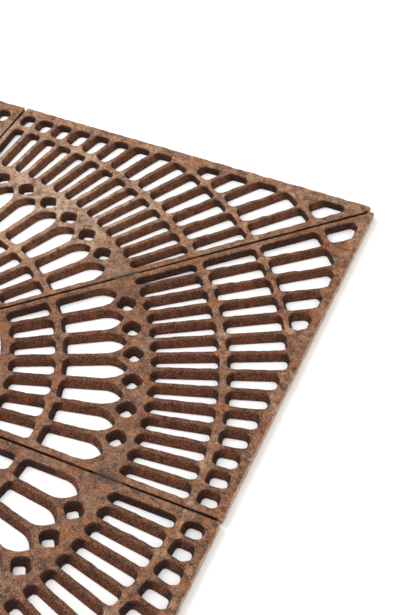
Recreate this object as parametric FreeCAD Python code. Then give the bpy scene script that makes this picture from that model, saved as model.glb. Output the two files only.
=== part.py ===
# Square cast iron tree grate: eight triangular castings round a tree, joined by bolts.
# Millimetres, +Z up. The origin is the middle of the tree opening, at ground level.

import FreeCAD, Part
import os
from math import asin, cos, radians, sin, sqrt

os.makedirs("parts", exist_ok=True)

Vector = FreeCAD.Vector


# Whole grate
SIDE = 1800.0
THICKNESS = 18.0
OPENING_RADIUS = 386.0
SECTIONS = 8
SECTION_ANGLE = 360.0 / SECTIONS
MIDDLE_ANGLE = SECTION_ANGLE / 2.0

# Solid parts of the pattern, measured outwards from the opening
RIM = 27.0
RING_RIB = 20.0
OUTER_RING_RIB = 17.0
BAND = 57.0
BORDER = 20.0

# Rows of slots, measured outwards from the opening
FIRST_ROW_LENGTH = 86.0
LANCET_STRAIGHT = 84.0
LANCET_POINT = 40.0
THIRD_ROW_LENGTH = 125.0
FOURTH_ROW_LENGTH = 120.0
FIFTH_ROW_LENGTH = 136.0

# Bars between the slots. The inner rows have 7 wide slots and the outer rows 14 narrow ones.
WIDE_SLOTS = 7
NARROW_SLOTS = 14
WIDE_PITCH_ANGLE = 6.13
NARROW_PITCH_ANGLE = 3.16
INNER_BAR = 16.0
OUTER_BAR = 15.0
EDGE_BAR = 16.0

# Where the border leaves less of a slot than this, the casting stays solid
SHORTEST_SLOT = 25.0

# Square holes in the band, standing on their corners
SQUARE_HALF_DIAGONAL = 18.0
SQUARE_BEYOND_LANCET = 12.0

# Taper of every hole from the top face down to the underside, so that the pattern leaves the sand
SIDE_TAPER = 1.5
END_TAPER = 2.5

# Joints between the sections. Pads on the joint faces touch, the rest stands back.
JOINT_GAP = 2.0
INNER_PAD_LENGTH = 40.0
SIDE_PAD_LENGTH = 55.0
CORNER_PAD_LENGTH = 90.0

# Bolts, one at each joint, in pockets on the underside of the band
BOLT_DIAMETER = 8.0
BOLT_LENGTH = 35.0
BOLT_HEIGHT = 7.0
HEX_ACROSS_FLATS = 13.0
HEAD_THICKNESS = 5.3
NUT_THICKNESS = 6.8
FLANGE = 12.0
POCKET_LENGTH = 24.0
POCKET_WIDTH = 26.0
POCKET_DEPTH = 14.0
BOLT_SLOT_CLEARANCE = 1.0
THREAD_CLEARANCE = 0.2

# Radii that follow from the widths above
FIRST_ROW_START = OPENING_RADIUS + RIM
FIRST_ROW_END = FIRST_ROW_START + FIRST_ROW_LENGTH
LANCET_START = FIRST_ROW_END + RING_RIB
LANCET_SHOULDER = LANCET_START + LANCET_STRAIGHT
LANCET_TIP = LANCET_SHOULDER + LANCET_POINT
SQUARE_RADIUS = LANCET_TIP + SQUARE_BEYOND_LANCET
THIRD_ROW_START = LANCET_TIP + BAND
THIRD_ROW_END = THIRD_ROW_START + THIRD_ROW_LENGTH
FOURTH_ROW_START = THIRD_ROW_END + RING_RIB
FOURTH_ROW_END = FOURTH_ROW_START + FOURTH_ROW_LENGTH
FIFTH_ROW_START = FOURTH_ROW_END + OUTER_RING_RIB
FIFTH_ROW_END = FIFTH_ROW_START + FIFTH_ROW_LENGTH
SIXTH_ROW_START = FIFTH_ROW_END + OUTER_RING_RIB

HALF_SIDE = SIDE / 2.0
CORNER_RADIUS = HALF_SIDE * sqrt(2.0)
SIXTH_ROW_END = CORNER_RADIUS
BORDER_INNER = HALF_SIDE - BORDER
SETBACK = JOINT_GAP / 2.0
BOLT_RADIUS = LANCET_TIP + BAND / 2.0
Z_AXIS = Vector(0.0, 0.0, 1.0)


def direction(angle):
    """Unit vector in plan at an angle from the X axis, in degrees."""
    return Vector(cos(radians(angle)), sin(radians(angle)), 0.0)


def mirrored(point):
    """The same point on the other side of the section's middle line."""
    middle = direction(MIDDLE_ANGLE)
    return middle * (2.0 * point.dot(middle)) - point


def meeting(line_a, line_b):
    """Where two lines in plan cross. A line is (unit normal, distance from the origin)."""
    (normal_a, distance_a), (normal_b, distance_b) = line_a, line_b
    span = normal_a.x * normal_b.y - normal_a.y * normal_b.x
    x = (distance_a * normal_b.y - distance_b * normal_a.y) / span
    y = (normal_a.x * distance_b - normal_b.x * distance_a) / span
    return Vector(x, y, 0.0)


def bars(slots, pitch_angle, width):
    """Bars of a ring as (angle, half width), the edge bars along the two joints included."""
    edge = SETBACK + EDGE_BAR
    inner = []
    for number in range(slots - 1):
        angle = MIDDLE_ANGLE + (number - (slots - 2) / 2.0) * pitch_angle
        inner.append((angle, width / 2.0))
    return [(0.0, edge)] + inner + [(SECTION_ANGLE, edge)]


WIDE_BARS = bars(WIDE_SLOTS, WIDE_PITCH_ANGLE, INNER_BAR)
NARROW_BARS = bars(NARROW_SLOTS, NARROW_PITCH_ANGLE, OUTER_BAR)


def slot_outline(ring, slot, start, end):
    """Outline of a slot between two bars, as (point, taper of the edge that starts there)."""
    (low_angle, low_half), (high_angle, high_half) = ring[slot], ring[slot + 1]
    along = direction((low_angle + high_angle) / 2.0)
    low = (direction(low_angle + 90.0), low_half)
    high = (direction(high_angle + 90.0), -high_half)
    inner = (along, start)
    outer = (along, end)
    return [
        (meeting(inner, low), SIDE_TAPER),
        (meeting(low, outer), END_TAPER),
        (meeting(outer, high), SIDE_TAPER),
        (meeting(high, inner), END_TAPER),
    ]


def lancet_outline(slot):
    """Outline of a pointed slot: straight sides, then two equal arcs that meet at the tip."""
    inner_low, low, high, inner_high = slot_outline(
        WIDE_BARS, slot, LANCET_START, LANCET_SHOULDER)
    centre = (low[0] + high[0]) * 0.5
    across = (high[0] - low[0]) * 0.5
    half_width = across.Length
    across.normalize()
    along = Vector(across.y, -across.x, 0.0)
    radius = (LANCET_POINT ** 2 + half_width ** 2) / (2.0 * half_width)
    tip_turn = asin(LANCET_POINT / radius)
    halfway_rise = radius * sin(tip_turn / 2.0)
    halfway_width = half_width - radius * (1.0 - cos(tip_turn / 2.0))
    return [
        inner_low,
        (low[0], SIDE_TAPER),
        (centre + along * halfway_rise - across * halfway_width, SIDE_TAPER),
        (centre + along * LANCET_POINT, SIDE_TAPER),
        (centre + along * halfway_rise + across * halfway_width, SIDE_TAPER),
        high,
        inner_high,
    ]


def square_outline(number):
    """Outline of a square hole with one corner towards the opening."""
    angle = WIDE_BARS[number + 1][0]
    centre = direction(angle) * SQUARE_RADIUS
    return [
        (centre + direction(angle + quarter * 90.0) * SQUARE_HALF_DIAGONAL, SIDE_TAPER)
        for quarter in range(4)
    ]


def underside(outline):
    """Outline of the same hole at the underside, where each edge has moved inwards by its taper."""
    lines = []
    for number, (start, taper) in enumerate(outline):
        end = outline[(number + 1) % len(outline)][0]
        along = (end - start).normalize()
        outward = Vector(along.y, -along.x, 0.0)
        lines.append((outward, start.dot(outward) - taper))
    return [meeting(lines[number - 1], lines[number]) for number in range(len(lines))]


def hole(outline):
    """Tapered solid of a hole, from the underside to the top face."""
    top = [point + Z_AXIS * THICKNESS for point, taper in outline]
    bottom = underside(outline)
    faces = [
        Part.Face(Part.makePolygon(top + top[:1])),
        Part.Face(Part.makePolygon(bottom + bottom[:1])),
    ]
    for number in range(len(top)):
        after = (number + 1) % len(top)
        corners = [bottom[number], bottom[after], top[after], top[number], bottom[number]]
        faces.append(Part.Face(Part.makePolygon(corners)))
    solid = Part.makeSolid(Part.makeShell(faces))
    if solid.Volume < 0.0:
        solid.reverse()
    return solid


def row_of_slots(ring, start, end):
    """The slots of a row, but for those that the straight border would leave too short."""
    holes = []
    for slot in range(len(ring) - 1):
        angle = (ring[slot][0] + ring[slot + 1][0]) / 2.0
        border_radius = BORDER_INNER / cos(radians(angle))
        if min(end, border_radius) - start >= SHORTEST_SLOT:
            holes.append(hole(slot_outline(ring, slot, start, end)))
    return holes


def inside_border(holes):
    """Cut the outer rows off at the straight border, whose inner wall tapers like a slot's end."""
    profile = [
        Vector(0.0, 0.0, 0.0),
        Vector(BORDER_INNER - END_TAPER, 0.0, 0.0),
        Vector(BORDER_INNER, 0.0, THICKNESS),
        Vector(0.0, 0.0, THICKNESS),
        Vector(0.0, 0.0, 0.0),
    ]
    field = Part.Face(Part.makePolygon(profile)).extrude(Vector(0.0, HALF_SIDE, 0.0))
    return [one.common(field) for one in holes]


def joint_edge(outer_pad_start):
    """Plan points of a joint face on the X axis, from the opening to the outer pad."""
    inner_pad_start = BOLT_RADIUS - INNER_PAD_LENGTH / 2.0
    inner_pad_end = BOLT_RADIUS + INNER_PAD_LENGTH / 2.0
    return [
        Vector(sqrt(OPENING_RADIUS ** 2 - SETBACK ** 2), SETBACK, 0.0),
        Vector(inner_pad_start, SETBACK, 0.0),
        Vector(inner_pad_start, 0.0, 0.0),
        Vector(inner_pad_end, 0.0, 0.0),
        Vector(inner_pad_end, SETBACK, 0.0),
        Vector(outer_pad_start, SETBACK, 0.0),
        Vector(outer_pad_start, 0.0, 0.0),
    ]


def plate():
    """The section without its holes: an eighth of the square round the opening."""
    side_joint = joint_edge(HALF_SIDE - SIDE_PAD_LENGTH)
    corner_joint = [mirrored(point) for point in joint_edge(CORNER_RADIUS - CORNER_PAD_LENGTH)]
    ends = [Vector(HALF_SIDE, 0.0, 0.0), Vector(HALF_SIDE, HALF_SIDE, 0.0)]
    outline = Part.makePolygon(side_joint + ends + corner_joint[::-1])
    opening = Part.Arc(corner_joint[0], direction(MIDDLE_ANGLE) * OPENING_RADIUS, side_joint[0])
    face = Part.Face(Part.Wire(outline.Edges + [opening.toShape()]))
    return face.extrude(Z_AXIS * THICKNESS)


def bolt_recess():
    """Pocket for a bolt head or nut beside the joint on the X axis, and the slot through its flange.

    Both are open below, so that they are cast without cores and the bolt goes in from underneath.
    """
    pocket = Part.makeBox(
        POCKET_WIDTH, POCKET_LENGTH, POCKET_DEPTH,
        Vector(BOLT_RADIUS - POCKET_WIDTH / 2.0, FLANGE, 0.0))
    slot_width = BOLT_DIAMETER + BOLT_SLOT_CLEARANCE
    slot = Part.makeBox(
        slot_width, FLANGE, BOLT_HEIGHT + slot_width / 2.0,
        Vector(BOLT_RADIUS - slot_width / 2.0, 0.0, 0.0))
    return pocket.fuse(slot).removeSplitter()


def section():
    """The casting between the middle of the right-hand side and the corner of the square."""
    holes = row_of_slots(WIDE_BARS, FIRST_ROW_START, FIRST_ROW_END)
    holes += [hole(lancet_outline(slot)) for slot in range(WIDE_SLOTS)]
    holes += [hole(square_outline(number)) for number in range(WIDE_SLOTS - 1)]
    holes += row_of_slots(NARROW_BARS, THIRD_ROW_START, THIRD_ROW_END)
    holes += inside_border(
        row_of_slots(NARROW_BARS, FOURTH_ROW_START, FOURTH_ROW_END)
        + row_of_slots(NARROW_BARS, FIFTH_ROW_START, FIFTH_ROW_END)
        + row_of_slots(NARROW_BARS, SIXTH_ROW_START, SIXTH_ROW_END))
    recess = bolt_recess()
    across = direction(MIDDLE_ANGLE + 90.0)
    recesses = [recess, recess.mirror(Vector(0.0, 0.0, 0.0), across)]
    return plate().cut(holes + recesses)


def turned(shape, angle):
    """A copy of a shape turned about the middle of the opening."""
    copy = shape.copy()
    copy.rotate(Vector(0.0, 0.0, 0.0), Z_AXIS, angle)
    return copy


def hexagon(thickness):
    """Hexagonal prism along Y with two flats level, its first face at the origin."""
    corner_radius = HEX_ACROSS_FLATS / sqrt(3.0)
    corners = [
        Vector(cos(radians(60.0 * step)), 0.0, sin(radians(60.0 * step))) * corner_radius
        for step in range(7)
    ]
    return Part.Face(Part.makePolygon(corners)).extrude(Vector(0.0, thickness, 0.0))


def bolt():
    """Hexagon bolt across the joint on the X axis, its head against the far side's flange."""
    shank = Part.makeCylinder(
        BOLT_DIAMETER / 2.0, BOLT_LENGTH, Vector(0.0, 0.0, 0.0), Vector(0.0, 1.0, 0.0))
    head = hexagon(HEAD_THICKNESS).translated(Vector(0.0, -HEAD_THICKNESS, 0.0))
    shape = head.fuse(shank).removeSplitter()
    return shape.translated(Vector(BOLT_RADIUS, -FLANGE, BOLT_HEIGHT))


def nut():
    """Hexagon nut on the bolt, against the near side's flange."""
    bore = Part.makeCylinder(
        (BOLT_DIAMETER + THREAD_CLEARANCE) / 2.0, NUT_THICKNESS,
        Vector(0.0, 0.0, 0.0), Vector(0.0, 1.0, 0.0))
    return hexagon(NUT_THICKNESS).cut(bore).translated(Vector(BOLT_RADIUS, FLANGE, BOLT_HEIGHT))


def write(shape, name):
    shape.exportStep("parts/" + name + ".step")


right_hand = section()
left_hand = right_hand.mirror(Vector(0.0, 0.0, 0.0), direction(SECTION_ANGLE + 90.0))
joint_bolt = bolt()
joint_nut = nut()

for quarter in range(SECTIONS // 2):
    write(turned(right_hand, 90.0 * quarter), "section_%d" % (2 * quarter + 1))
    write(turned(left_hand, 90.0 * quarter), "section_%d" % (2 * quarter + 2))

for joint in range(SECTIONS):
    write(turned(joint_bolt, SECTION_ANGLE * joint), "bolt_%d" % (joint + 1))
    write(turned(joint_nut, SECTION_ANGLE * joint), "nut_%d" % (joint + 1))
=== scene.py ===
"""Rusted cast iron tree grate in eight sections, seen over one corner on a white studio floor.

Metres, in the CAD frame: the origin is the middle of the tree opening, on the floor. A casting is
worked out as the ideal section between the middle of the right-hand side (angle 0) and the
square's corner (angle 45), and is then mirrored or turned into its place.
"""

import bmesh
import bpy
import numpy as np
from mathutils import Euler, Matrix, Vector
from mathutils.geometry import delaunay_2d_cdt


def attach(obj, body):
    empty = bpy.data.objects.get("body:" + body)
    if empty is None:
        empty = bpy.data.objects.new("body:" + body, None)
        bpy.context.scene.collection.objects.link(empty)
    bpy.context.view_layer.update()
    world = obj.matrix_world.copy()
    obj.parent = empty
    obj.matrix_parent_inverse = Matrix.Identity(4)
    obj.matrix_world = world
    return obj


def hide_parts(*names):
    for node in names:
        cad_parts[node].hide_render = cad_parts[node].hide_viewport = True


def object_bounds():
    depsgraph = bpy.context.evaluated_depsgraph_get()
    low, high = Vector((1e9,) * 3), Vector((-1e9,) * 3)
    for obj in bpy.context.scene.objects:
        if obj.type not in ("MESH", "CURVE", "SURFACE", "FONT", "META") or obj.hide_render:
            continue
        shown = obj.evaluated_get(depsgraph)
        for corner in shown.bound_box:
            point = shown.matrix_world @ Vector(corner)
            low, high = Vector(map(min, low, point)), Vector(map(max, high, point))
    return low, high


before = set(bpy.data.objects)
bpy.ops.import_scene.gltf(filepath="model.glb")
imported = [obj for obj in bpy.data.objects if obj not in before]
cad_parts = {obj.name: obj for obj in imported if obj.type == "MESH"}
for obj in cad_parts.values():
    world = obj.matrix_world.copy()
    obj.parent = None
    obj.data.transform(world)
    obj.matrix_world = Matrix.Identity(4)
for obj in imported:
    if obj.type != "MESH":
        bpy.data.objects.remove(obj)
CAD_LOW, CAD_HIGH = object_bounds()

# Whole grate
HALF_SIDE = CAD_HIGH.x
THICKNESS = CAD_HIGH.z
SECTIONS = 8
SECTION_ANGLE = 360.0 / SECTIONS
MIDDLE_ANGLE = SECTION_ANGLE / 2.0

# Rows of holes near the floor, where the holes are narrowest: distances from the grate's middle
OPENING_RADIUS = 0.386
FIRST_ROW = (0.4127, 0.4937)
LANCET_START = 0.5186
LANCET_SHOULDER = 0.5989
LANCET_TIP = 0.6366
SQUARE_RADIUS = 0.6507
SQUARE_REACH = 0.0152
THIRD_ROW = (0.6988, 0.8173)
FOURTH_ROW = (0.8424, 0.9560)
FIFTH_ROW = (0.9779, 1.1075)
SIXTH_ROW = (1.1317, 1.2624)
SHORTEST_SLOT = 0.020
ROWS_OF_BARS = (FIRST_ROW, (LANCET_START, LANCET_SHOULDER), THIRD_ROW, FOURTH_ROW, FIFTH_ROW, SIXTH_ROW)
RING_RIBS = ((OPENING_RADIUS, FIRST_ROW[0]), (FIRST_ROW[1], LANCET_START), (THIRD_ROW[1], FOURTH_ROW[0]),
             (FOURTH_ROW[1], FIFTH_ROW[0]), (FIFTH_ROW[1], SIXTH_ROW[0]))

# Bars between the holes, also near the floor
WIDE_SLOTS = 7
WIDE_PITCH_ANGLE = 6.1225
INNER_BAR = 0.0204
NARROW_SLOTS = 14
NARROW_PITCH_ANGLE = 3.1587
OUTER_BAR = 0.0190
SIDE_EDGE_BAR = 0.0176
DIAGONAL_EDGE_BAR = 0.0206

# The straight border. Its edge lies a little inside the CAD's, so that the casting that lies askew
# stays inside the CAD box.
BORDER_INNER = 0.8718
BORDER_EDGE = 0.8943
BORDER_FADE = 0.010

# Corners of the holes in plan, and how near the border a corner counts as one at the border
SLOT_CORNER = 0.0080
BORDER_CORNER = 0.0105
LANCET_CORNER = 0.0060
TIP_CORNER = 0.0015
SQUARE_CORNER = 0.0055
CORNER_AT_BORDER = 0.002

# How much wider a hole is at the top than near the floor. Sides of bars are rounded, and the side
# that shows in the photograph leans back more. Ends of slots and squares lean up to a crisp edge.
SIDE_FLARE = 0.0031
LEANING_FLARE = 0.0112
JOINT_LEANING_FLARE = 0.0072
LEANING_CRISPNESS = 0.8
INNER_END_FLARE = 0.0095
BAND_END_FLARE = 0.0125
OUTER_END_FLARE = 0.0050
BORDER_FLARE = 0.0080
BORDER_FACING = (0.80, 1.0)
BORDER_SOFTENING = 0.5
SQUARE_FLARE = 0.0086
SQUARE_LEAN = 0.0055

# Profile of the walls: how far the foot is set back and how high it is, and the forms of the upper
# edge of a hole (rounded where it isn't crisp) and of a section
FOOT = (0.0008, 0.0012)
ROUNDING_DEPTH = 0.0065
CRISP_DEPTH = 0.0020
CRISP_REACH = 0.0015
JOINT_ROUNDING = 0.0025
OUTER_ROUNDING = 0.0022
OUTER_ROUNDING_DEPTH = 0.0030
JOINT_FACING = (0.7, 0.98)
ROUNDING_ANGLES = np.radians([0.0, 22.0, 44.0, 66.0, 90.0])

# How far a section stands back from the joint's line: least across the wide band, and more along
# the inner rows, the third row and the outer rows, where the joint is open
CLOSED_GAP = 0.0004
INNER_GAP = 0.0022
INNER_GAP_END = 0.640
MIDDLE_GAP = 0.0018
MIDDLE_GAP_STRETCH = (0.712, 0.835)
OUTER_GAP = 0.0025
OUTER_GAP_RISE = (0.82, 0.86)
GAP_FADE = 0.012
JOINT_REACH = 0.02

# Corners of a section in plan: at the joints, and (radius, cut along the border) at the square's
# corner, where mirrored sections are rounder
JOINT_CORNER = 0.0040
ROUND_CORNER = (0.0140, 0.0170)
CLIPPED_CORNER = (0.0080, 0.0140)

# Bolt recesses in the underside: half length along the joint, from and to across it, and height.
# Their cutters reach on below the underside.
BOLT_RADIUS = 0.6715
POCKET = (0.0130, 0.0120, 0.0360, 0.0140)
BOLT_SLOT = (0.0045, -0.0100, 0.0130, 0.0115)
CUTTER_REACH = 0.01

# How far a casting's holes lie from the ideal pattern: along the section's angle 0, towards the
# diagonal, and turned about the pivot in radians. Where fading is 1 they are true at the diagonal.
PIVOT_RADIUS = 0.675
NO_SHIFT = (0.0, 0.0, 0.0, 0.0)
SHIFTS = {
    1: (-0.0045, 0.0028, -0.0123, 0.0),
    2: (-0.0121, 0.0055, -0.0009, 1.0),
    7: (0.0011, 0.0090, -0.0028, 1.0),
}
FADE_ANGLES = (25.0, 44.0)

# How far a casting's border lies beyond its nominal line, at the side joint and at the diagonal
NO_OFFSET = (0.0, 0.0)
BORDER_OFFSETS = {1: (-0.0018, 0.0056), 2: (-0.0040, 0.0)}

# How much nearer to the squares the third row starts in one casting
EARLY_START = {0: 0.0048}
EARLY_START_REACH = 0.012
EARLY_START_FADE = 0.010

# In two castings some bars next to the diagonal are thinner over most of their outer length, on the
# side of the higher (1) or the lower (-1) angle. The step comes after a share of the row's length,
# over STEP_LENGTH, and goes at its end. Across the bar it sets in and goes at distances from the
# bar's middle line.
STEP = 0.0026
STEPPED = {0: (1.0, (11, 12, 13)), 1: (-1.0, (10, 11, 12, 13))}
STEP_PLACE = 0.32
STEP_LENGTH = 0.010
STEP_END = (-0.004, 0.006)
STEP_SIDE = (-0.004, 0.006)
STEP_LIMIT = (0.012, 0.018)

# How far the crowns of bars lie below the ribs, and from which share of the thickness
BAR_DROP = 0.0009
DROP_FROM = 0.5

# Wear as (amplitude, wavelength, place in the row of seeds), and from which share of the thickness
# crowns sink. Edges wander in full above a share of it.
EDGE_WANDER = ((0.0005, 0.034, 0), (0.0004, 0.014, 2))
EDGE_WANDER_FADE = 0.012
CROWN_SWELL = (0.0005, 0.060, 4)
CROWN_DIMPLES = (0.0005, 0.018, 5)
CROWN_FROM = 0.8
WANDER_IN_FULL = 0.4
WAVES = 12
WAVE_SPREAD = (0.6, 1.6)
BOX_MARGIN = 0.0001

# Depths below the top and places in plan between which the painted attributes fade, and how strong
# some are. Shares are of the width of the bar beside the side joint.
CREST_DEPTHS = (0.0003, 0.0024)
BAR_CREST_EXTRA = 0.0010
POCKET_DEPTHS = (0.0006, 0.0040)
# The painted highlight on the outer face fades in over these depths and this band from the edge
FACE_HIGHLIGHT_DEPTHS = (0.0002, 0.0014)
FACE_HIGHLIGHT_BAND = (0.010, 0.006)
INNER_RINGS = (0.50, 0.56)
INNER_CREST = 0.6
OUTER_BAR_SHADE = 0.45
BAR_FADE = 0.012
EDGE_BAR_SHARES = (0.9, 1.5)
BAR_BORDER_FADE = 0.014
POINTED_MARGINS = (0.020, 0.012)
POINTED_FADE = 0.008
RIB_FADE = 0.006
# Wear, dust and a painted highlight on raised tops: how strong they are on the band and along the joints
BAND_WEAR_AND_HIGHLIGHT = 0.45
BAND_WEAR_AND_HIGHLIGHT_FADE = 0.010
JOINT_WEAR_AND_HIGHLIGHT = 0.5
JOINT_WEAR_AND_HIGHLIGHT_SHARES = (0.7, 1.2)
DIRT_REACH = (0.002, 0.014)
DIRT_STRETCH = (0.650, 0.690)
DIRT_FADE = 0.012

# Settled dust: how dusty each casting is, and where the dust lies (radii and angles)
DUSTINESS = {1: 1.0, 2: 0.5}
LEAST_DUSTINESS = 0.05
DUST_STRETCH = (0.500, 0.800)
DUST_FADE = 0.080
DUST_CORE = (0.610, 0.690)
DUST_CORE_FADE = 0.060
DUST_END_ANGLES = (30.0, 40.0)
DUST_SHARES = (0.20, 0.50, 0.30)

# Fineness of the meshes
STRAIGHT_STEP = 0.007
ARC_STEP = 0.0030
CROWN_STEP = 0.008
CROWN_ROW_RATIO = 0.866
CROWN_CLEARANCE = 0.45
CROWN_BLOCKS = 48
SAME_PLACE = 1e-5
TRIANGLES_INSIDE = 1
TRIANGLE_TOLERANCE = 1e-7
SHARP_ANGLE = 50.0

# Colours of the iron
NO_SHADE = (1.0, 1.0, 1.0)
DARK_RUST = (0.030, 0.009, 0.004)
RED_RUST = (0.172, 0.060, 0.027)
BROWN_BLOTCH = (0.114, 0.042, 0.021)
# Brown and tan of raised tops: partly wear and dust, partly a painted highlight
WORN_HIGHLIGHT_BROWN = (0.240, 0.104, 0.052)
WORN_HIGHLIGHT_TAN = (0.410, 0.240, 0.142)
PALE_DUST = (0.500, 0.350, 0.245)
# The outer face's brown and tan are a painted highlight, as if light fell on that face from the right
FACE_HIGHLIGHT_BROWN = (0.400, 0.270, 0.170)
FACE_HIGHLIGHT_TAN = (0.740, 0.570, 0.410)
ORANGE_BLOOM = (0.320, 0.092, 0.018)
DARK_GRAIN = (0.009, 0.003, 0.002)
TAN_PITS = (0.420, 0.245, 0.145)
GREY_DIRT = (0.045, 0.037, 0.028)
BAR_SHADE = (0.56, 0.44, 0.38)
WALL_SHADE = (0.74, 0.55, 0.44)
POCKET_SHADE = (0.19, 0.12, 0.08)

# Colours of the bolts and nuts, and of the floor
STEEL_DARK = (0.045, 0.022, 0.015)
STEEL_RED = (0.160, 0.060, 0.028)
STEEL_ORANGE = (0.300, 0.110, 0.040)
PAPER_GREY = (0.86, 0.855, 0.85)
PAPER_WHITE = (0.88, 0.875, 0.87)

# Floor, light and camera
FLOOR_REACH = 30.0
FLOOR_HEIGHT = -0.0002
SKY_COLOUR = (1.0, 0.995, 0.985, 1.0)
SKY_STRENGTH = 1.12
KEY_PLACE = (-1.80, 0.50, 2.60)
KEY_AIM = (0.6, 0.3, 0.0)
KEY_WIDTH = 2.2
KEY_POWER = 78.0
LENS = 67.477
SENSOR_HEIGHT = 36.0
CAMERA_PLACE = (1.27627, -1.04295, 1.75438)
CAMERA_ANGLES = (43.0326, -1.1502, 23.4217)


def direction(angle):
    """Unit vector in plan at an angle in degrees from the X axis."""
    return np.array([np.cos(np.radians(angle)), np.sin(np.radians(angle))])


def smoothstep(low, high, value):
    """0 below low, 1 above high, and between them a smooth rise.

    With the share s of the way from low to high, it is three times s squared, less twice s cubed.
    """
    share = np.clip((value - low) / (high - low), 0.0, 1.0)
    return share * share * (3.0 - 2.0 * share)


def between(value, low, high, blend):
    """1 where the value lies between low and high, falling smoothly to 0 over the blend outside."""
    return smoothstep(low - blend, low, value) * (1.0 - smoothstep(high, high + blend, value))


def radius_of(plan):
    """Distance of points in plan from the grate's middle."""
    return np.hypot(plan[:, 0], plan[:, 1])


def angle_of(plan):
    """Angle of points in plan, in degrees from the X axis."""
    return np.degrees(np.arctan2(plan[:, 1], plan[:, 0]))


def meeting(line_a, line_b):
    """Where two lines in plan cross. A line is (unit normal, distance from the origin)."""
    return np.linalg.solve(np.array([line_a[0], line_b[0]]), np.array([line_a[1], line_b[1]]))


def bars(slots, pitch_angle, width):
    """Bars of a ring as (angle, half width), the edge bars along the two joints included.

    The bars between them lie one pitch angle apart, as many on each side of the section's middle.
    """
    middle = slots / 2.0
    inner = [(MIDDLE_ANGLE + (number - middle) * pitch_angle, width / 2.0) for number in range(1, slots)]
    return [(0.0, SIDE_EDGE_BAR)] + inner + [(SECTION_ANGLE, DIAGONAL_EDGE_BAR)]


WIDE_BARS = bars(WIDE_SLOTS, WIDE_PITCH_ANGLE, INNER_BAR)
NARROW_BARS = bars(NARROW_SLOTS, NARROW_PITCH_ANGLE, OUTER_BAR)
PIVOT = direction(MIDDLE_ANGLE) * PIVOT_RADIUS
AWAY_FROM_DIAGONAL = -direction(SECTION_ANGLE + 90.0)


def slot_corners(ring, slot, start, end):
    """Four corners of a slot between two bars, anticlockwise, and the way it runs.

    Each corner is where a line along a bar's side, at half its width from the bar's middle line,
    meets a line across the slot at its start or end.
    """
    (low_angle, low_half), (high_angle, high_half) = ring[slot], ring[slot + 1]
    along = direction((low_angle + high_angle) / 2.0)
    low = (direction(low_angle + 90.0), low_half)
    high = (direction(high_angle + 90.0), -high_half)
    inner, outer = (along, start), (along, end)
    return [meeting(inner, low), meeting(low, outer), meeting(outer, high), meeting(high, inner)], along


def cut_at_border(corners):
    """Keep the part of a convex outline inside the straight border.

    An edge that crosses the border is cut where it does. Two corners closer than half a slot's
    corner radius become one.
    """
    kept = []
    for number, corner in enumerate(corners):
        before = corners[number - 1]
        if (before[0] - BORDER_INNER) * (corner[0] - BORDER_INNER) < 0.0:
            share = (BORDER_INNER - before[0]) / (corner[0] - before[0])
            kept.append(before + share * (corner - before))
        if corner[0] <= BORDER_INNER:
            kept.append(corner)
    merged = []
    for corner in kept:
        if merged and np.linalg.norm(corner - merged[-1]) < SLOT_CORNER / 2.0:
            merged[-1] = (merged[-1] + corner) / 2.0
        else:
            merged.append(corner)
    return merged


def arc(centre, radius, first, last):
    """Points and turning normals of an arc between two angles in radians."""
    steps = max(2, int(np.ceil(abs(radius * (last - first)) / ARC_STEP)) + 1)
    angles = np.linspace(first, last, steps)
    normals = np.stack([np.cos(angles), np.sin(angles)], axis=1)
    return centre + radius * normals, normals


def joined(arcs):
    """Closed outline through a list of arcs, with evenly divided straights between them."""
    points, normals = [], []
    for number, (arc_points, arc_normals) in enumerate(arcs):
        start, end = arc_points[-1], arcs[(number + 1) % len(arcs)][0][0]
        steps = int(np.linalg.norm(end - start) / STRAIGHT_STEP)
        shares = np.linspace(0.0, 1.0, steps + 2)[1:-1, None]
        points += [arc_points, start + shares * (end - start)]
        normals += [arc_normals, np.repeat(arc_normals[-1:], steps, axis=0)]
    points, normals = np.concatenate(points), np.concatenate(normals)
    apart = np.linalg.norm(points - np.roll(points, 1, axis=0), axis=1) > SAME_PLACE
    return points[apart], normals[apart]


def fillets(corners, radii, room_share=0.48):
    """Arcs in the corners of a convex outline.

    At a corner with turn t, the arc's centre lies radius / cos(t / 2) inwards along the middle
    normal. A radius is cut down where the edges beside it are too short for it.
    """
    corners = np.array(corners)
    edges = np.roll(corners, -1, axis=0) - corners
    lengths = np.linalg.norm(edges, axis=1)
    headings = np.arctan2(edges[:, 1], edges[:, 0]) - np.pi / 2.0
    arcs = []
    for number, corner in enumerate(corners):
        before = headings[number - 1]
        turn = (headings[number] - before + np.pi) % (2.0 * np.pi) - np.pi
        room = room_share * min(lengths[number - 1], lengths[number])
        radius = min(radii[number], room / np.tan(turn / 2.0))
        middle = before + turn / 2.0
        centre = corner - np.array([np.cos(middle), np.sin(middle)]) * radius / np.cos(turn / 2.0)
        arcs.append(arc(centre, radius, before, before + turn))
    return arcs


def shift_at(plan, shift):
    """Turn and step of a casting's pattern at points in plan, fading towards the diagonal."""
    forward, sideways, turn, fading = shift
    share = 1.0 - fading * smoothstep(*FADE_ANGLES, angle_of(plan))
    return turn * share, share[:, None] * np.array([forward, sideways])


def ideal_place(plan, shift):
    """Where points of a shifted casting lie in the ideal pattern: stepped back, then turned back."""
    turn, step = shift_at(plan, shift)
    offset = plan - step - PIVOT
    x = offset[:, 0] * np.cos(turn) + offset[:, 1] * np.sin(turn)
    y = offset[:, 1] * np.cos(turn) - offset[:, 0] * np.sin(turn)
    return np.stack([x, y], axis=1) + PIVOT


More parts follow.
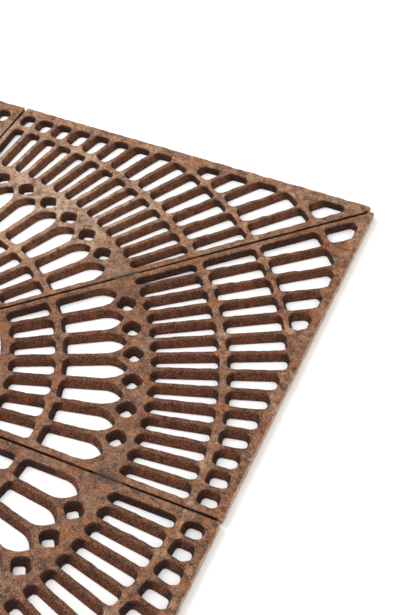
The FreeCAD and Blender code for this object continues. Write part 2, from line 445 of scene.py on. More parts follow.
class Hole:
    """Outline of a hole near the floor, with how much wider and how crisp the top is at each point."""

    def __init__(self, outline, flare, crispness):
        self.points, self.normals = outline
        self.flare = flare
        self.crispness = crispness

    def moved(self, shift):
        """The hole turned and shifted as one piece, as far as the shift reaches at its middle."""
        turn, step = shift_at(self.points.mean(axis=0)[None], shift)
        cosine, sine = np.cos(turn[0]), np.sin(turn[0])
        spin = np.array([[cosine, sine], [-sine, cosine]])
        outline = ((self.points - PIVOT) @ spin + PIVOT + step[0], self.normals @ spin)
        return Hole(outline, self.flare, self.crispness)


def leaning_flare(ring, slot, leaning_side):
    """Flare of a slot's leaning side, less where it leans over the edge bar of a joint."""
    at_joint = slot == (len(ring) - 2 if leaning_side > 0.0 else 0)
    return JOINT_LEANING_FLARE if at_joint else LEANING_FLARE


def slot_flare(normals, along, end_flares, side_flare, leaning_side):
    """Flare and crispness round a slot: its inner end, its outer end, and its two sides.

    The leaning side is that of the higher angle (1) or of the lower angle (-1). It and the two ends
    each count by the square of how much the outline's normal faces them.
    """
    inner = np.minimum(normals @ along, 0.0) ** 2
    outer = np.maximum(normals @ along, 0.0) ** 2
    across = np.array([-along[1], along[0]]) * leaning_side
    leaning = np.maximum(normals @ across, 0.0) ** 2
    flare = SIDE_FLARE + (end_flares[0] - SIDE_FLARE) * inner + (end_flares[1] - SIDE_FLARE) * outer
    return flare + (side_flare - SIDE_FLARE) * leaning, inner + outer + LEANING_CRISPNESS * leaning


def lancet(slot, leaning_side):
    """A pointed slot: rounded inner corners, straight sides, two large arcs and a small one at the tip.

    With half width h and rise l from shoulder to tip, each side's arc has the radius
    R = (l * l + h * h) / (2 * h) and its centre on the line through the shoulders. The tip's own
    arc r touches both, at the angle whose cosine is (R - h) / (R - r).
    """
    corners, along = slot_corners(WIDE_BARS, slot, LANCET_START, LANCET_SHOULDER)
    low, high = corners[1], corners[2]
    corner_arcs = fillets(corners, [LANCET_CORNER] * 4)
    middle = (low + high) / 2.0
    half_width = np.linalg.norm(high - low) / 2.0
    across = (high - low) / (2.0 * half_width)
    rise = LANCET_TIP - LANCET_SHOULDER
    radius = (rise ** 2 + half_width ** 2) / (2.0 * half_width)
    turn = np.arccos((radius - half_width) / (radius - TIP_CORNER))
    low_normal = np.arctan2(along[1], along[0]) - np.pi / 2.0
    high_normal = low_normal + np.pi
    to_centre = across * (radius - half_width)
    tip_centre = middle + along * (radius - TIP_CORNER) * np.sin(turn)
    outline = joined([
        corner_arcs[0],
        arc(middle + to_centre, radius, low_normal, low_normal + turn),
        arc(tip_centre, TIP_CORNER, low_normal + turn, high_normal - turn),
        arc(middle - to_centre, radius, high_normal - turn, high_normal),
        corner_arcs[3]])
    side_flare = leaning_flare(WIDE_BARS, slot, leaning_side)
    end_flares = (INNER_END_FLARE, SIDE_FLARE)
    return Hole(outline, *slot_flare(outline[1], along, end_flares, side_flare, leaning_side))


def square(number, leaning_side):
    """A small square hole that stands on its corner, wider at the top and shifted there.

    Its flare grows and shrinks with how much the outline's normal faces the leaning side, which
    moves the whole upper outline that way.
    """
    angle = WIDE_BARS[number + 1][0]
    centre = direction(angle) * SQUARE_RADIUS
    corners = [centre + direction(angle + quarter * 90.0) * SQUARE_REACH for quarter in range(4)]
    outline = joined(fillets(corners, [SQUARE_CORNER] * 4))
    flare = SQUARE_FLARE + SQUARE_LEAN * leaning_side * (outline[1] @ direction(angle + 90.0))
    return Hole(outline, flare, np.ones(len(flare)))


def border_slot(corners, along, end_flares, side_flare, leaning_side):
    """A straight slot inside the border, with larger corners and a softer, wider edge along it."""
    corners = cut_at_border(corners)
    near_border = [corner[0] > BORDER_INNER - CORNER_AT_BORDER for corner in corners]
    radii = [BORDER_CORNER if near else SLOT_CORNER for near in near_border]
    points, normals = joined(fillets(corners, radii))
    flare, crispness = slot_flare(normals, along, end_flares, side_flare, leaning_side)
    at_border = smoothstep(BORDER_INNER - BORDER_FADE, BORDER_INNER, points[:, 0])
    at_border *= smoothstep(*BORDER_FACING, normals[:, 0])
    flare += (BORDER_FLARE - flare) * at_border
    crispness *= 1.0 - BORDER_SOFTENING * at_border
    return Hole((points, normals), flare, crispness)


def row_of_slots(ring, start, end, inner_flare, leaning_side):
    """A row's slots, but for those that the straight border leaves too short."""
    slots = []
    for slot in range(len(ring) - 1):
        corners, along = slot_corners(ring, slot, start, end)
        if min(end, BORDER_INNER / along[0]) - start >= SHORTEST_SLOT:
            side_flare = leaning_flare(ring, slot, leaning_side)
            end_flares = (inner_flare, OUTER_END_FLARE)
            slots.append(border_slot(corners, along, end_flares, side_flare, leaning_side))
    return slots


def all_holes(leaning_side):
    """Every hole of the ideal section."""
    holes = row_of_slots(WIDE_BARS, *FIRST_ROW, INNER_END_FLARE, leaning_side)
    holes += [lancet(slot, leaning_side) for slot in range(WIDE_SLOTS)]
    holes += [square(number, leaning_side) for number in range(WIDE_SLOTS - 1)]
    holes += row_of_slots(NARROW_BARS, *THIRD_ROW, BAND_END_FLARE, leaning_side)
    for row in (FOURTH_ROW, FIFTH_ROW, SIXTH_ROW):
        holes += row_of_slots(NARROW_BARS, *row, INNER_END_FLARE, leaning_side)
    return holes


def outer_outline(square_corner):
    """Outline of a section with closed joints: side joint, border, corner, diagonal joint, opening.

    The opening's arc meets each joint in a small fillet f, whose centre lies f from the joint's
    line and opening radius + f from the origin.
    """
    edge = BORDER_EDGE
    corner_radius, cut = square_corner
    corners = [direction(0.0) * OPENING_RADIUS, np.array([edge, 0.0]), np.array([edge, edge - cut]),
               np.array([edge - cut / 2.0, edge - cut / 2.0]), direction(SECTION_ANGLE) * OPENING_RADIUS]
    radii = [JOINT_CORNER, JOINT_CORNER, corner_radius, JOINT_CORNER, JOINT_CORNER]
    corner_arcs = fillets(corners, radii, room_share=1.0)[1:4]
    reach = OPENING_RADIUS + JOINT_CORNER
    lead = np.arcsin(JOINT_CORNER / reach)
    diagonal = np.radians(SECTION_ANGLE)
    low_fillet = arc(direction(np.degrees(lead)) * reach, JOINT_CORNER, np.pi + lead, np.pi * 1.5)
    high_fillet = arc(direction(SECTION_ANGLE - np.degrees(lead)) * reach, JOINT_CORNER,
                      diagonal + np.pi / 2.0, diagonal - lead + np.pi)
    opening, away = arc(np.zeros(2), OPENING_RADIUS, diagonal - lead, lead)
    return joined([low_fillet] + corner_arcs + [high_fillet, (opening, -away)])


def joint_gaps(plan):
    """Distance of points in plan from the side joint's line and from the diagonal joint's line."""
    return plan[:, 1], plan @ AWAY_FROM_DIAGONAL


def set_back(plan, border_offset):
    """Move points near the joints' lines into the iron, further along some rows than elsewhere.

    The border moves by an offset that changes evenly from the side joint to the diagonal.
    """
    radius = radius_of(plan)
    gap = OUTER_GAP + (CLOSED_GAP - OUTER_GAP) * (1.0 - smoothstep(*OUTER_GAP_RISE, radius))
    inner_share = 1.0 - smoothstep(INNER_GAP_END, INNER_GAP_END + GAP_FADE, radius)
    gap = np.maximum(gap, INNER_GAP * inner_share)
    gap = np.maximum(gap, MIDDLE_GAP * between(radius, *MIDDLE_GAP_STRETCH, GAP_FADE))
    side_gap, diagonal_gap = joint_gaps(plan)
    at_border = smoothstep(BORDER_INNER, BORDER_INNER + BORDER_FADE, plan[:, 0])
    offset = border_offset[0] + (border_offset[1] - border_offset[0]) * plan[:, 1] / BORDER_EDGE
    moved = plan.copy()
    moved[:, 0] += offset * at_border
    moved[:, 1] += gap * (1.0 - smoothstep(0.0, JOINT_REACH, side_gap))
    from_diagonal = gap * (1.0 - smoothstep(0.0, JOINT_REACH, diagonal_gap))
    return moved + from_diagonal[:, None] * AWAY_FROM_DIAGONAL


def outer_rounding(normals):
    """Reach of the rounding round a section: its own value along the joints."""
    jointness = np.maximum(smoothstep(*JOINT_FACING, -normals[:, 1]),
                           smoothstep(*JOINT_FACING, -(normals @ AWAY_FROM_DIAGONAL)))
    return OUTER_ROUNDING + (JOINT_ROUNDING - OUTER_ROUNDING) * jointness


def wall_rows(points, into_iron, flare, depth, crispness):
    """Rows of points up a wall and over its upper edge, as (rows, points, 3).

    The foot is set back a little. Where the wall isn't crisp it rises straight, and then over a
    quarter ellipse of the given depth and as wide as the flare. Where it is crisp it leans back
    evenly, up to a small quarter ellipse.
    """
    rows = [np.column_stack([points + into_iron * FOOT[0], np.zeros(len(points))]),
            np.column_stack([points, np.full(len(points), FOOT[1])])]
    lean = np.maximum(flare - CRISP_REACH, 0.0)
    first_share = (THICKNESS - depth - FOOT[1]) / (THICKNESS - CRISP_DEPTH - FOOT[1])
    last_angles = ROUNDING_ANGLES[1:] - ROUNDING_ANGLES[1]
    last_angles = last_angles / last_angles[-1] * np.pi / 2.0
    for number, angle in enumerate(ROUNDING_ANGLES):
        reach = flare * (1.0 - np.cos(angle))
        height = THICKNESS - depth * (1.0 - np.sin(angle))
        if number == 0:
            crisp_reach, crisp_height = lean * first_share, height
        else:
            last = last_angles[number - 1]
            crisp_reach = lean + (flare - lean) * (1.0 - np.cos(last))
            crisp_height = THICKNESS - CRISP_DEPTH * (1.0 - np.sin(last))
        reach = reach + (crisp_reach - reach) * crispness
        height = height + (crisp_height - height) * crispness
        rows.append(np.column_stack([points + into_iron * reach[:, None], height]))
    return np.stack(rows)


def triangles_between(loops, extra):
    """Triangles of the flat area between closed loops, through extra points inside it.

    Loops is a list of (count, 2) arrays, the first one the outer loop. Triangles whose corners all
    lie on one hole's loop fill that hole and are left out.
    """
    points = np.concatenate(loops + [extra])
    loop_of = np.concatenate([np.full(len(loop), number) for number, loop in enumerate(loops)]
                             + [np.zeros(len(extra), int)])
    edges, first = [], 0
    for loop in loops:
        index = np.arange(len(loop))
        edges.append(np.stack([index, np.roll(index, -1)], axis=1) + first)
        first += len(loop)
    edges = np.concatenate(edges).tolist()
    found = delaunay_2d_cdt(points.tolist(), edges, [], TRIANGLES_INSIDE, TRIANGLE_TOLERANCE)
    back = np.array([origin[0] for origin in found[3]])
    triangles = back[np.array(found[2])]
    owners = loop_of[triangles]
    in_hole = (owners[:, 0] == owners[:, 1]) & (owners[:, 1] == owners[:, 2]) & (owners[:, 0] > 0)
    return triangles[~in_hole]


def crown_points(loops, inward):
    """Points inside the flat upper area: a staggered grid, clear of every loop and inside the iron.

    A grid point is inside where the way from the nearest point of a loop to it runs into the iron.
    """
    step = CROWN_STEP
    x, y = np.meshgrid(np.arange(0.0, HALF_SIDE, step), np.arange(0.0, HALF_SIDE, step * CROWN_ROW_RATIO))
    x = x + (np.arange(len(x)) % 2)[:, None] * step / 2.0
    grid = np.stack([x.ravel(), y.ravel()], axis=1)
    grid = grid[(grid[:, 1] < grid[:, 0]) & (radius_of(grid) > OPENING_RADIUS)]
    border = np.concatenate(loops)
    inward = np.concatenate(inward)
    kept = []
    for block in np.array_split(grid, CROWN_BLOCKS):
        gaps = block[:, None, :] - border[None, :, :]
        distance = np.linalg.norm(gaps, axis=2)
        nearest = distance.argmin(axis=1)
        index = np.arange(len(block))
        inside = (gaps[index, nearest] * inward[nearest]).sum(axis=1) > 0.0
        kept.append(block[inside & (distance[index, nearest] > step * CROWN_CLEARANCE)])
    return np.concatenate(kept)


def linked_object(name, data):
    """A new object in the scene, at the origin."""
    thing = bpy.data.objects.new(name, data)
    bpy.context.scene.collection.objects.link(thing)
    return thing


def mesh_object(name, points, faces):
    """Object of a mesh, with its faces turned outward."""
    mesh = bpy.data.meshes.new(name)
    mesh.from_pydata(points.tolist(), [], [face for group in faces for face in group.tolist()])
    mesh.validate()
    solid = bmesh.new()
    solid.from_mesh(mesh)
    bmesh.ops.recalc_face_normals(solid, faces=solid.faces)
    solid.to_mesh(mesh)
    solid.free()
    return linked_object(name, mesh)


def box(low, high):
    """Corners and sides of a box between two opposite corners.

    Each corner lies none or all of the way from low to high along each axis.
    """
    share = np.array([[0, 0, 0], [1, 0, 0], [1, 1, 0], [0, 1, 0],
                      [0, 0, 1], [1, 0, 1], [1, 1, 1], [0, 1, 1]])
    sides = np.array([[0, 3, 2, 1], [4, 5, 6, 7], [0, 1, 5, 4],
                      [1, 2, 6, 5], [2, 3, 7, 6], [3, 0, 4, 7]])
    return low + share * (high - low), sides


def recess_cutter(name, size):
    """The same recess at both joints of a section, as two boxes that reach below the underside.

    The box at the diagonal is the mirror image of the one at the side joint. Its corners lie as
    far along the diagonal, and as far from it, as the others do from the middle of the side.
    """
    half_length, near, far, height = size
    corners, sides = box(np.array([BOLT_RADIUS - half_length, near, -CUTTER_REACH]),
                         np.array([BOLT_RADIUS + half_length, far, height]))
    mirrored = corners.copy()
    mirrored[:, :2] = corners[:, :1] * direction(SECTION_ANGLE) + corners[:, 1:2] * AWAY_FROM_DIAGONAL
    return mesh_object(name, np.concatenate([corners, mirrored]), [sides, sides + len(corners)])


def with_recesses(blank):
    """Mesh of a blank section with the bolts' pockets and slots cut out of its underside."""
    cutters = [recess_cutter("pockets", POCKET), recess_cutter("bolt_slots", BOLT_SLOT)]
    for cutter in cutters:
        cut = blank.modifiers.new(cutter.name, "BOOLEAN")
        cut.operation = "DIFFERENCE"
        cut.solver = "MANIFOLD"
        cut.object = cutter
    finished = bpy.data.meshes.new_from_object(blank.evaluated_get(bpy.context.evaluated_depsgraph_get()))
    for spent in [blank] + cutters:
        bpy.data.objects.remove(spent)
    return finished


def section_mesh(shift, border_offset, square_corner, leaning_side):
    """Closed mesh of the section between the middle of a side and the corner, before wear.

    The walls are strips between rows of points, the top and the underside are flat triangulated
    areas between the walls' last and first rows.
    """
    outer_points, outer_normals = outer_outline(square_corner)
    walls = [wall_rows(outer_points, -outer_normals, outer_rounding(outer_normals), OUTER_ROUNDING_DEPTH,
                       np.zeros(len(outer_points)))]
    outer_plan = walls[0][:, :, :2].reshape(-1, 2)
    walls[0][:, :, :2] = set_back(outer_plan, border_offset).reshape(len(walls[0]), -1, 2)
    inward = [-outer_normals]
    for hole in all_holes(leaning_side):
        hole = hole.moved(shift)
        walls.append(wall_rows(hole.points, hole.normals, hole.flare, ROUNDING_DEPTH, hole.crispness))
        inward.append(hole.normals)
    faces, first = [], 0
    top_index, bottom_index = [], []
    for wall in walls:
        rows, count = wall.shape[:2]
        index = first + np.arange(rows * count).reshape(rows, count)
        after = np.roll(index, -1, axis=1)
        faces.append(np.stack([index[:-1], after[:-1], after[1:], index[1:]], axis=-1).reshape(-1, 4))
        bottom_index.append(index[0])
        top_index.append(index[-1])
        first += rows * count
    top_loops = [wall[-1, :, :2] for wall in walls]
    bottom_loops = [wall[0, :, :2] for wall in walls]
    crown = crown_points(top_loops, inward)
    top_vertices = np.concatenate(top_index + [first + np.arange(len(crown))])
    top = top_vertices[triangles_between(top_loops, crown)]
    bottom = np.concatenate(bottom_index)[triangles_between(bottom_loops, np.zeros((0, 2)))]
    points = np.concatenate([wall.reshape(-1, 3) for wall in walls]
                            + [np.hstack([crown, np.full((len(crown), 1), THICKNESS)])])
    return with_recesses(mesh_object("blank", points, [np.concatenate(faces), top, bottom]))


def barness(plan):
    """1 on the bars between slots, 0 on ring ribs, band, rim, border and along the joints."""
    radius = radius_of(plan)
    result = np.zeros(len(plan))
    for start, end in ROWS_OF_BARS:
        past_start = smoothstep(start, start + BAR_FADE, radius)
        result += past_start * (1.0 - smoothstep(end - BAR_FADE, end, radius))
    low, high = EDGE_BAR_SHARES
    result *= smoothstep(SIDE_EDGE_BAR * low, SIDE_EDGE_BAR * high, np.minimum(*joint_gaps(plan)))
    return result * (1.0 - smoothstep(BORDER_INNER - BAR_BORDER_FADE, BORDER_INNER, plan[:, 0]))


def pocketness(plan, bar):
    """1 at the ends of slots and in the squares, 0 along bars and round the lancets' points."""
    low, high = LANCET_SHOULDER - POINTED_MARGINS[0], LANCET_TIP - POINTED_MARGINS[1]
    return (1.0 - bar) * (1.0 - between(radius_of(plan), low, high, POINTED_FADE))


def worn_and_highlit(plan):
    """1 on ring ribs, rim and border, less on band and joint edges: wear, dust and a painted highlight.
    """
    radius = radius_of(plan)
    result = np.zeros(len(plan))
    for low, high in RING_RIBS:
        result = np.maximum(result, between(radius, low, high, RIB_FADE))
    on_band = between(radius, LANCET_TIP - BAND_WEAR_AND_HIGHLIGHT_FADE, THIRD_ROW[0], BAND_WEAR_AND_HIGHLIGHT_FADE)
    result = np.maximum(result, BAND_WEAR_AND_HIGHLIGHT * on_band)
    result = np.maximum(result, smoothstep(BORDER_INNER - RIB_FADE, BORDER_INNER, plan[:, 0]))
    low, high = JOINT_WEAR_AND_HIGHLIGHT_SHARES
    off_joint = smoothstep(SIDE_EDGE_BAR * low, SIDE_EDGE_BAR * high, np.minimum(*joint_gaps(plan)))
    return np.maximum(result, JOINT_WEAR_AND_HIGHLIGHT * (1.0 - off_joint))


def joint_dirt(plan):
    """1 close to the closed stretch of a joint on the wide band, where dirt has filled the gap."""
    near_joint = 1.0 - smoothstep(*DIRT_REACH, np.minimum(*joint_gaps(plan)))
    return near_joint * between(radius_of(plan), *DIRT_STRETCH, DIRT_FADE)


def dust_patch(plan):
    """Dust lies thickest round the square holes, less round them, and least next to the diagonal."""
    least, wide, core = DUST_SHARES
    radius = radius_of(plan)
    away_from_diagonal = 1.0 - smoothstep(*DUST_END_ANGLES, angle_of(plan))
    patch = between(radius, *DUST_STRETCH, DUST_FADE) * away_from_diagonal
    return least + wide * patch + core * patch * between(radius, *DUST_CORE, DUST_CORE_FADE)


def stepped(ideal, section):
    """Movement in plan of the stepped bars' sides, for points given in the ideal pattern.

    It works on one side of a bar's middle line, as far as the bar's own side, and along the bar
    from the step's place to the end of the row.
    """
    movement = np.zeros_like(ideal)
    side, numbers = STEPPED.get(section, (1.0, ()))
    for number in numbers:
        angle = NARROW_BARS[number][0]
        normal = direction(angle + 90.0) * side
        along, across = ideal @ direction(angle), ideal @ normal
        share = smoothstep(*STEP_SIDE, across) * (1.0 - smoothstep(*STEP_LIMIT, across))
        for start, end in (FOURTH_ROW, FIFTH_ROW):
            place = start + STEP_PLACE * (end - start)
            length_share = smoothstep(place, place + STEP_LENGTH, along)
            length_share *= 1.0 - smoothstep(end + STEP_END[0], end + STEP_END[1], along)
            movement -= (STEP * share * length_share)[:, None] * normal
    return movement


def early_start(ideal, section):
    """Movement in plan, towards the opening, of the inner ends of the third row's slots."""
    radius = radius_of(ideal)
    start = THIRD_ROW[0]
    share = between(radius, start - BAND_END_FLARE, start + EARLY_START_REACH, EARLY_START_FADE)
    return ideal * (-EARLY_START.get(section, 0.0) * share / radius)[:, None]


def ripple(points, wavelength, seed):
    """Smooth noise, mostly within -1..1: the sum of sine waves over the root of their number.

    Their directions, lengths and phases are seeded.
    """
    random = np.random.default_rng(seed)
    headings = random.normal(size=(WAVES, 3))
    headings /= np.linalg.norm(headings, axis=1)[:, None]
    lengths = wavelength * random.uniform(*WAVE_SPREAD, WAVES)
    phases = random.uniform(0.0, 2.0 * np.pi, WAVES)
    turns = points @ (headings / lengths[:, None]).T
    return np.sin(turns * 2.0 * np.pi + phases).sum(axis=1) / np.sqrt(WAVES)


def worn(points, joint_gap, seed):
    """Move the points of a casting as sand casting, wear and rust do.

    Edges wander in plan by some tenths of a millimetre, less along the joints. Crowns sink and
    swell, and never rise above the thickness.
    """
    moved = points.copy()
    upper = smoothstep(0.0, THICKNESS * WANDER_IN_FULL, points[:, 2])
    free = upper * smoothstep(0.0, EDGE_WANDER_FADE, joint_gap)
    for axis in (0, 1):
        for amplitude, wavelength, place in EDGE_WANDER:
            moved[:, axis] += amplitude * ripple(points, wavelength, seed + place + axis) * free
    limit = HALF_SIDE - BOX_MARGIN
    moved[:, :2] = np.clip(moved[:, :2], -limit, limit)
    swell, swell_wavelength, swell_place = CROWN_SWELL
    dimple, dimple_wavelength, dimple_place = CROWN_DIMPLES
    sink = swell * (1.0 + ripple(points, swell_wavelength, seed + swell_place))
    sink += dimple * ripple(points, dimple_wavelength, seed + dimple_place)
    moved[:, 2] -= np.maximum(sink, 0.0) * smoothstep(THICKNESS * CROWN_FROM, THICKNESS, points[:, 2])
    return moved


def turned(points, section):
    """Place the ideal section as number 0..7: odd ones are mirrored, pairs turn by quarters."""
    placed = points.copy()
    if section % 2:
        placed[:, [0, 1]] = placed[:, [1, 0]]
    quarter = section // 2 * np.pi / 2.0
    x, y = placed[:, 0].copy(), placed[:, 1].copy()
    placed[:, 0] = x * np.cos(quarter) - y * np.sin(quarter)
    placed[:, 1] = x * np.sin(quarter) + y * np.cos(quarter)
    return placed


def paint_attributes(section, points, plan, bar):
    """What the iron's material reads at each point, from its place in the ideal pattern and its depth.

    Height is 1 on top and 0 on walls, which get painted shade. Pocket is 1 deep in the ends of
    slots, which get painted shade too, and face is 1 on the outer face, which gets a painted
    highlight. Crest, bar, dirt and dust say where on the casting a point lies; crest also places a
    painted highlight on raised tops, and bar a painted shade on the bars.
    """
    depth = THICKNESS - points[:, 2]
    inner = 1.0 - smoothstep(*INNER_RINGS, radius_of(plan))
    at_edge = smoothstep(BORDER_EDGE - FACE_HIGHLIGHT_BAND[0], BORDER_EDGE - FACE_HIGHLIGHT_BAND[1], points[:, 0])
    return {
        "height": 1.0 - smoothstep(CREST_DEPTHS[0], CREST_DEPTHS[1] + BAR_CREST_EXTRA * bar, depth),
        "pocket": smoothstep(*POCKET_DEPTHS, depth) * pocketness(plan, bar) * (1.0 - at_edge),
        # Painted highlight on the outer face of the border
        "face": smoothstep(*FACE_HIGHLIGHT_DEPTHS, depth) * at_edge,
        "crest": worn_and_highlit(plan) * (1.0 + (INNER_CREST - 1.0) * inner),
        "dirt": joint_dirt(points[:, :2]),
        "bar": bar * (OUTER_BAR_SHADE + (1.0 - OUTER_BAR_SHADE) * inner),
        "dust": DUSTINESS.get(section, LEAST_DUSTINESS) * dust_patch(plan),
    }


def section_casting(section, finished, shift):
    """One visible casting: lowered on its bars, placed, worn, and painted with its attributes."""
    mesh = finished.copy()
    mesh.name = "casting_%d" % (section + 1)
    mesh.materials.clear()
    points = np.zeros(len(mesh.vertices) * 3)
    mesh.vertices.foreach_get("co", points)
    points = points.reshape(-1, 3)
    plan = ideal_place(points[:, :2], shift)
    bar = barness(plan)
    joint_gap = np.minimum(*joint_gaps(points[:, :2]))
    shaped = points.copy()
    shaped[:, :2] += stepped(plan, section) + early_start(plan, section)
    shaped[:, 2] -= BAR_DROP * bar * smoothstep(THICKNESS * DROP_FROM, THICKNESS, points[:, 2])
    shaped = worn(turned(shaped, section), joint_gap, 10 * section)
    mesh.vertices.foreach_set("co", shaped.ravel())
    if section % 2:
        mesh.flip_normals()
    for name, values in paint_attributes(section, points, plan, bar).items():
        mesh.attributes.new(name, "FLOAT", "POINT").data.foreach_set("value", values)
    mesh.polygons.foreach_set("use_smooth", [True] * len(mesh.polygons))
    mesh.set_sharp_from_angle(angle=np.radians(SHARP_ANGLE))
    mesh.update()
    return linked_object(mesh.name, mesh)


class Nodes:
    """A material with the few shader nodes that the finishes here are made of.

    A value passed to a node is a number, a colour or another node's socket.
    """

    def __init__(self, name):
        self.material = bpy.data.materials.new(name)
        self.material.use_nodes = True
        self.tree = self.material.node_tree
        self.shader = self.tree.nodes["Principled BSDF"]
        self.place = self.add("ShaderNodeTexCoord").outputs["Object"]

    def add(self, kind, **values):
        """A new node of a kind, with its settings."""
        node = self.tree.nodes.new(kind)
        for key, value in values.items():
            setattr(node, key, value)
        return node

    def feed(self, socket, value):
        """Link a socket to another one, or set it to a number or a colour."""
        if isinstance(value, bpy.types.NodeSocket):
            self.tree.links.new(value, socket)
        elif isinstance(value, tuple) and len(value) == 3 and socket.type == "RGBA":
            socket.default_value = (*value, 1.0)
        else:
            socket.default_value = value

    def noise(self, scale, detail=4.0, roughness=0.6, distortion=0.0):
        """Cloudy noise in about 0..1, features about 1 / scale metres wide."""
        node = self.add("ShaderNodeTexNoise")
        self.feed(node.inputs["Vector"], self.place)
        self.feed(node.inputs["Scale"], scale)
        self.feed(node.inputs["Detail"], detail)
        self.feed(node.inputs["Roughness"], roughness)
        self.feed(node.inputs["Distortion"], distortion)
        return node.outputs["Fac"]

    def ramp(self, value, low, high, start=0.0, end=1.0):
        """Smooth step of a value, from start at low to end at high."""
        node = self.add("ShaderNodeMapRange", interpolation_type="SMOOTHSTEP")
        for key, number in (("Value", value), ("From Min", low), ("From Max", high),
                            ("To Min", start), ("To Max", end)):
            self.feed(node.inputs[key], number)
        return node.outputs["Result"]

    def maths(self, operation, first, second):
        """One operation on two values."""
        node = self.add("ShaderNodeMath", operation=operation)
        self.feed(node.inputs[0], first)
        self.feed(node.inputs[1], second)
        return node.outputs["Value"]

    def product(self, first, second):
        """The first value times the second."""
        return self.maths("MULTIPLY", first, second)

    def mix(self, share, first, second, blend="MIX"):
        """The first colour where the share is 0, the second where it is 1."""
        node = self.add("ShaderNodeMix", data_type="RGBA", blend_type=blend)
        self.feed(node.inputs["Factor"], share)
        self.feed(node.inputs["A"], first)
        self.feed(node.inputs["B"], second)
        return node.outputs["Result"]

    def attribute(self, name):
        """A value that the mesh carries at its points."""
        return self.add("ShaderNodeAttribute", attribute_name=name).outputs["Fac"]

    def bump(self, height, strength, distance, under=None):
        """Normal of a surface raised by a height, on top of the bump under it."""
        node = self.add("ShaderNodeBump")
        self.feed(node.inputs["Height"], height)
        self.feed(node.inputs["Strength"], strength)
        self.feed(node.inputs["Distance"], distance)
        if under is not None:
            self.feed(node.inputs["Normal"], under)
        return node.outputs["Normal"]

    def finish(self, colour, roughness, normal):
        """Give the shader its colour, roughness and normal."""
        self.feed(self.shader.inputs["Base Color"], colour)
        self.feed(self.shader.inputs["Roughness"], roughness)
        self.feed(self.shader.inputs["Normal"], normal)
        return self.material


def rusted_iron():
    """Old rust on cast iron, layer over layer.

    A red-brown mottle with browner blotches; brown and tan on what stands proud, partly wear and
    dust and partly a painted highlight; pale dust where it has settled; the outer face painted pale
    as a highlight; orange bloom; dark grain; tan pits; dirt in the joints. Bars, walls and the ends
    of slots are then darkened with painted shade.
    """
    nodes = Nodes("rusted_iron")
    blotch = nodes.noise(16.0, 5.0, 0.6, 0.4)
    cloud = nodes.noise(30.0, 6.0, 0.72, 0.3)
    mottle = nodes.noise(75.0, 6.0, 0.72)
    grain = nodes.noise(300.0, 4.0, 0.65)
    pits = nodes.noise(560.0, 3.0, 0.6)
    height = nodes.attribute("height")
    crest = nodes.attribute("crest")
    dust = nodes.attribute("dust")
    face = nodes.attribute("face")

    rust = nodes.mix(nodes.ramp(mottle, 0.36, 0.64), DARK_RUST, RED_RUST)
    rust = nodes.mix(nodes.ramp(blotch, 0.42, 0.66, 0.0, 0.6), rust, BROWN_BLOTCH)

    tooth = nodes.maths("ADD", mottle, nodes.product(grain, 0.6))
    # Raised tops: worn and dusty brown and tan, which is partly a painted highlight
    proud = nodes.product(nodes.product(crest, nodes.ramp(tooth, 0.66, 0.92)), height)
    rust = nodes.mix(proud, rust, nodes.mix(nodes.ramp(blotch, 0.40, 0.62), WORN_HIGHLIGHT_BROWN, WORN_HIGHLIGHT_TAN))

    drift = nodes.product(nodes.ramp(tooth, 0.56, 0.86), nodes.ramp(blotch, 0.36, 0.58, 0.5))
    settled = nodes.product(nodes.product(dust, drift), nodes.ramp(height, 0.0, 1.0, 0.2))
    rust = nodes.mix(settled, rust, PALE_DUST)

    # Painted highlight: the outer face is pale tan, as if lit from the right
    face_highlight = nodes.mix(nodes.ramp(mottle, 0.35, 0.65), FACE_HIGHLIGHT_BROWN, FACE_HIGHLIGHT_TAN)
    rust = nodes.mix(nodes.product(face, 0.85), rust, face_highlight)

    bloom = nodes.product(nodes.ramp(cloud, 0.51, 0.62), nodes.ramp(grain, 0.36, 0.54))
    bloom = nodes.product(bloom, nodes.ramp(crest, 0.0, 1.0, 0.45, 0.90))
    rust = nodes.mix(bloom, rust, ORANGE_BLOOM)
    rust = nodes.mix(nodes.ramp(grain, 0.50, 0.62, 0.0, 0.90), rust, DARK_GRAIN)
    rust = nodes.mix(nodes.ramp(pits, 0.54, 0.63, 0.0, 0.75), rust, TAN_PITS)
    rust = nodes.mix(nodes.product(nodes.attribute("dirt"), 0.80), rust, GREY_DIRT)

    bare_bar = nodes.product(nodes.attribute("bar"), nodes.ramp(dust, 0.0, 0.7, 1.0, 0.0))
    shade = nodes.mix(bare_bar, NO_SHADE, BAR_SHADE)
    shade = nodes.mix(height, WALL_SHADE, shade)
    shade = nodes.mix(nodes.attribute("pocket"), shade, POCKET_SHADE)
    # The outer face, painted as lit, takes none of the painted shade
    shade = nodes.mix(face, shade, NO_SHADE)
    rust = nodes.mix(1.0, rust, shade, "MULTIPLY")

    lumps = nodes.bump(nodes.noise(210.0, 3.0, 0.5), 0.70, 0.0025)
    fine = nodes.bump(grain, 0.60, 0.0010, lumps)
    normal = nodes.bump(pits, 0.35, 0.0006, fine)
    nodes.feed(nodes.shader.inputs["Specular IOR Level"], 0.30)
    return nodes.finish(rust, nodes.ramp(grain, 0.3, 0.7, 0.66, 0.94), normal)


def rusted_steel():
    """Bolts and nuts: darker, more even rust with orange bloom."""
    nodes = Nodes("rusted_steel")
    mottle = nodes.noise(160.0, 5.0, 0.65)
    grain = nodes.noise(900.0, 4.0, 0.7)
    colour = nodes.mix(nodes.ramp(mottle, 0.35, 0.65), STEEL_DARK, STEEL_RED)
    colour = nodes.mix(nodes.ramp(grain, 0.52, 0.66, 0.0, 0.7), colour, STEEL_ORANGE)
    normal = nodes.bump(grain, 0.5, 0.0004, nodes.bump(mottle, 0.4, 0.0008))
    nodes.feed(nodes.shader.inputs["Metallic"], 0.25)
    return nodes.finish(colour, nodes.ramp(grain, 0.3, 0.7, 0.55, 0.85), normal)


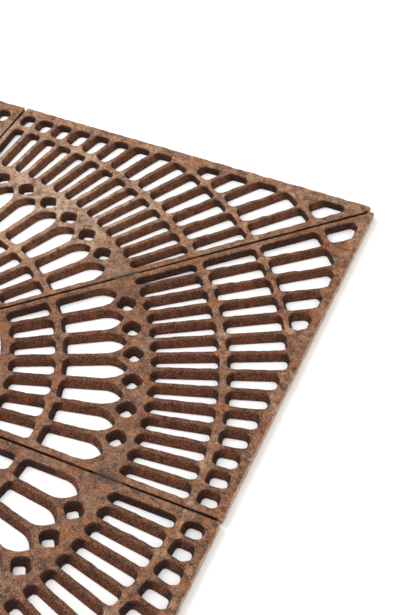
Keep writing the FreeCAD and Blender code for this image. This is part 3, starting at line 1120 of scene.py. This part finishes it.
def studio_floor():
    """White paper floor with a very faint tooth."""
    nodes = Nodes("studio_floor")
    paper = nodes.mix(nodes.ramp(nodes.noise(3.0, 3.0), 0.3, 0.7), PAPER_GREY, PAPER_WHITE)
    return nodes.finish(paper, 0.7, nodes.bump(nodes.noise(900.0, 2.0), 0.1, 0.0003))


def soft_box(name, place, aim, width, power):
    """A square area light at a place, turned to what it is aimed at."""
    lamp = bpy.data.lights.new(name, "AREA")
    lamp.shape = "SQUARE"
    lamp.size = width
    lamp.energy = power
    lamp_object = linked_object(name, lamp)
    lamp_object.location = place
    lamp_object.rotation_euler = (Vector(aim) - Vector(place)).to_track_quat("-Z", "Y").to_euler()


# Castings. Odd sections are mirrored and have the rounder corner, and the leaning side is the same
# way round the grate in all of them.
iron = rusted_iron()
finished_meshes = {}
for section in range(SECTIONS):
    mirrored = section % 2 == 1
    shift = SHIFTS.get(section, NO_SHIFT)
    offset = BORDER_OFFSETS.get(section, NO_OFFSET)
    corner = ROUND_CORNER if mirrored else CLIPPED_CORNER
    form = (shift, offset, corner, -1.0 if mirrored else 1.0)
    if form not in finished_meshes:
        finished_meshes[form] = section_mesh(*form)
    casting = section_casting(section, finished_meshes[form], shift)
    casting.data.materials.append(iron)
    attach(casting, "root")
    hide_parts("section_%d" % (section + 1))
for spent in finished_meshes.values():
    bpy.data.meshes.remove(spent)

# Bolts and nuts
steel = rusted_steel()
for number in range(SECTIONS):
    for kind in ("bolt", "nut"):
        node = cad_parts["%s_%d" % (kind, number + 1)]
        node.data.materials.clear()
        node.data.materials.append(steel)

# Floor, a little below the castings
floor_corners = np.array([[-1, -1], [1, -1], [1, 1], [-1, 1]]) * FLOOR_REACH
floor_points = np.hstack([floor_corners, np.full((4, 1), FLOOR_HEIGHT)])
floor = mesh_object("floor", floor_points, [np.array([[0, 1, 2, 3]])])
floor.data.materials.append(studio_floor())

# Light
world = bpy.data.worlds.new("studio")
world.use_nodes = True
world.node_tree.nodes["Background"].inputs["Color"].default_value = SKY_COLOUR
world.node_tree.nodes["Background"].inputs["Strength"].default_value = SKY_STRENGTH
bpy.context.scene.world = world
soft_box("key_box", KEY_PLACE, KEY_AIM, KEY_WIDTH, KEY_POWER)

# Camera, where the photograph's pattern puts it
camera_data = bpy.data.cameras.new("camera")
camera_data.sensor_fit = "VERTICAL"
camera_data.sensor_height = SENSOR_HEIGHT
camera_data.lens = LENS
camera = linked_object("camera", camera_data)
camera.location = CAMERA_PLACE
camera.rotation_euler = Euler(np.radians(CAMERA_ANGLES).tolist())
bpy.context.scene.camera = camera
bpy.context.scene.view_settings.view_transform = "Standard"
